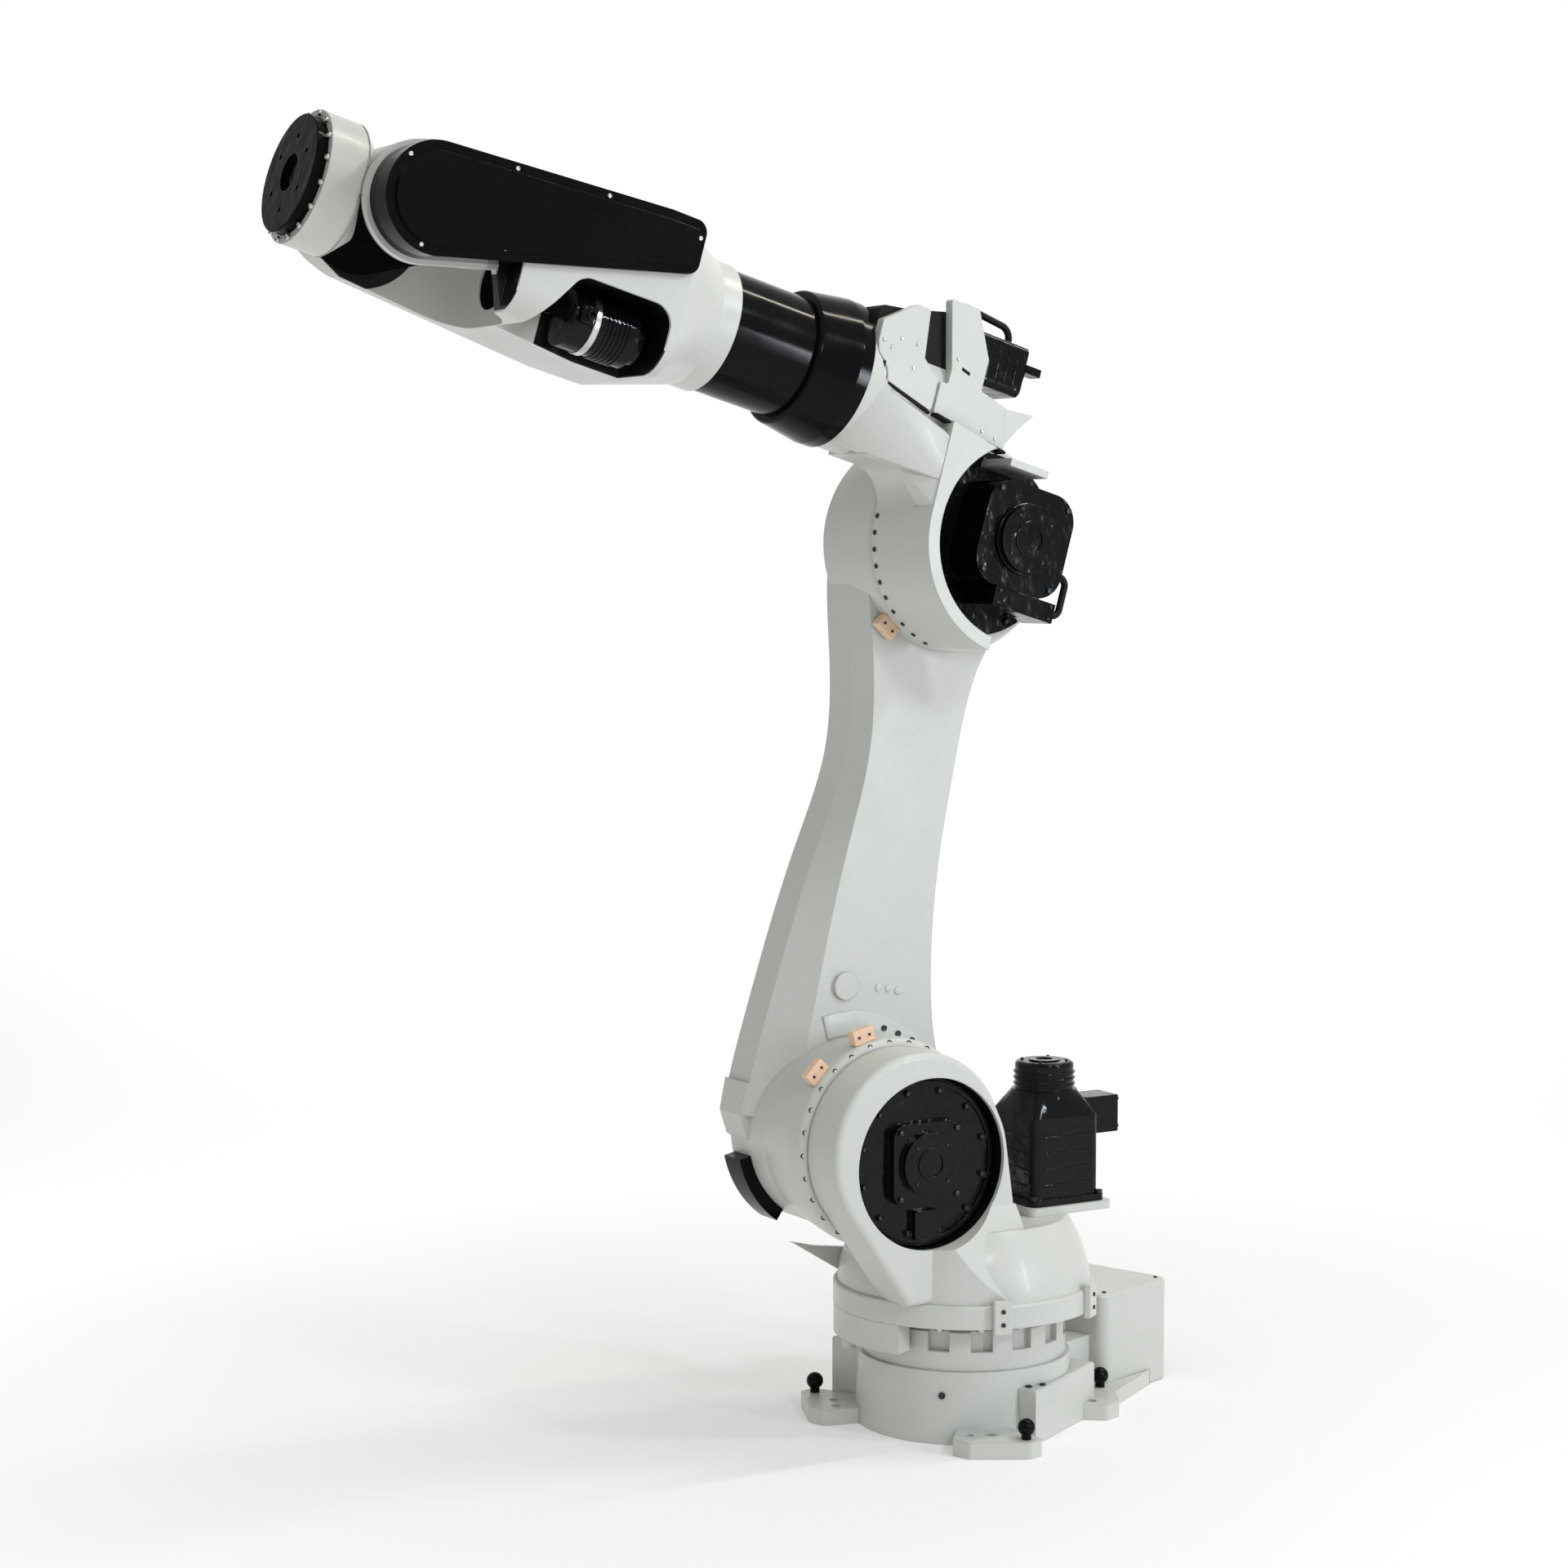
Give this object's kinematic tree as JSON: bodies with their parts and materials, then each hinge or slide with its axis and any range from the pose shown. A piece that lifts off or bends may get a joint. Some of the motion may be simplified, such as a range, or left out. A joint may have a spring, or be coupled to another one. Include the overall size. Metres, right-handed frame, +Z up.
{
  "type": "industrial robot arm",
  "caption": "Floor-mounted jointed robot arm: turning base, leaning lower arm, dark-tubed forearm with a forked wrist and a bolted tool flange.",
  "frame": {"origin": "on the turret's turning axis, at the base's bottom face", "axes": "+Z up, +X towards the front of the base, +Y to its left"},
  "size_m": [1.8097, 0.8418, 2.3299],
  "materials": {
    "cream_paint": "satin",
    "black_paint": "gloss",
    "steel": "machined",
    "stop_paint": "satin"
  },
  "bodies": {
    "base": {"base_casting": "cream_paint", "base_ring": "cream_paint", "side_blocks": "cream_paint", "rear_connector_box": "cream_paint", "connector_plate": "black_paint", "anchor_caps": "black_paint"},
    "turret": {"turret_casting": "cream_paint", "stop_skirt": "cream_paint", "stop_brackets": "cream_paint", "motor_shelf": "cream_paint", "j1_motor": "black_paint", "j1_motor_plug": "black_paint", "j2_motor": "black_paint"},
    "lower_arm": {"lower_arm_casting": "cream_paint", "shoulder_bearing": "steel", "foot_cover": "black_paint", "stop_blocks": "stop_paint", "arm_end_caps": "cream_paint"},
    "elbow": {"elbow_casting": "cream_paint", "j3_motor": "black_paint", "j3_junction_box": "black_paint", "front_plates": "cream_paint", "rear_plates": "cream_paint", "rear_fins": "cream_paint", "cable_pack": "black_paint", "j4_motor": "black_paint", "motor_cables": "black_paint"},
    "forearm": {"forearm_ring": "black_paint", "forearm_tube": "black_paint", "wrist_housing": "cream_paint", "belt_cover": "black_paint", "far_fork_cover": "black_paint", "hand_motor": "black_paint"},
    "wrist": {"wrist_barrel": "black_paint", "wrist_body": "cream_paint"},
    "tool": {"tool_flange": "black_paint"}
  },
  "joints": [
    {"name": "j1_turn", "type": "hinge", "parent": "base", "child": "turret", "pos_m": [0, 0, 0.215], "axis": [0, 0, 1], "range_deg": [-142, 178]},
    {"name": "j2_shoulder", "type": "hinge", "parent": "turret", "child": "lower_arm", "pos_m": [0.19021, -0.0618, 0.543], "axis": [0.309, 0.9511, 0], "range_deg": [-48.3, 87.7]},
    {"name": "j3_elbow", "type": "hinge", "parent": "lower_arm", "child": "elbow", "pos_m": [-0.02387, 0.00775, 1.62994], "axis": [-0.309, -0.9511, 0], "range_deg": [-79.3, 85.7]},
    {"name": "j4_forearm_roll", "type": "hinge", "parent": "elbow", "child": "forearm", "pos_m": [0.2779, -0.09029, 1.93106], "axis": [0.9142, -0.297, 0.2756], "range_deg": [-210, 210]},
    {"name": "j5_wrist_bend", "type": "hinge", "parent": "forearm", "child": "wrist", "pos_m": [1.09429, -0.35556, 2.1772], "axis": [0.309, 0.9511, 0], "range_deg": [-125, 125]},
    {"name": "j6_flange_roll", "type": "hinge", "parent": "wrist", "child": "tool", "pos_m": [1.24056, -0.40308, 2.22131], "axis": [0.9142, -0.297, 0.2756], "range_deg": [-210, 210]}
  ]
}
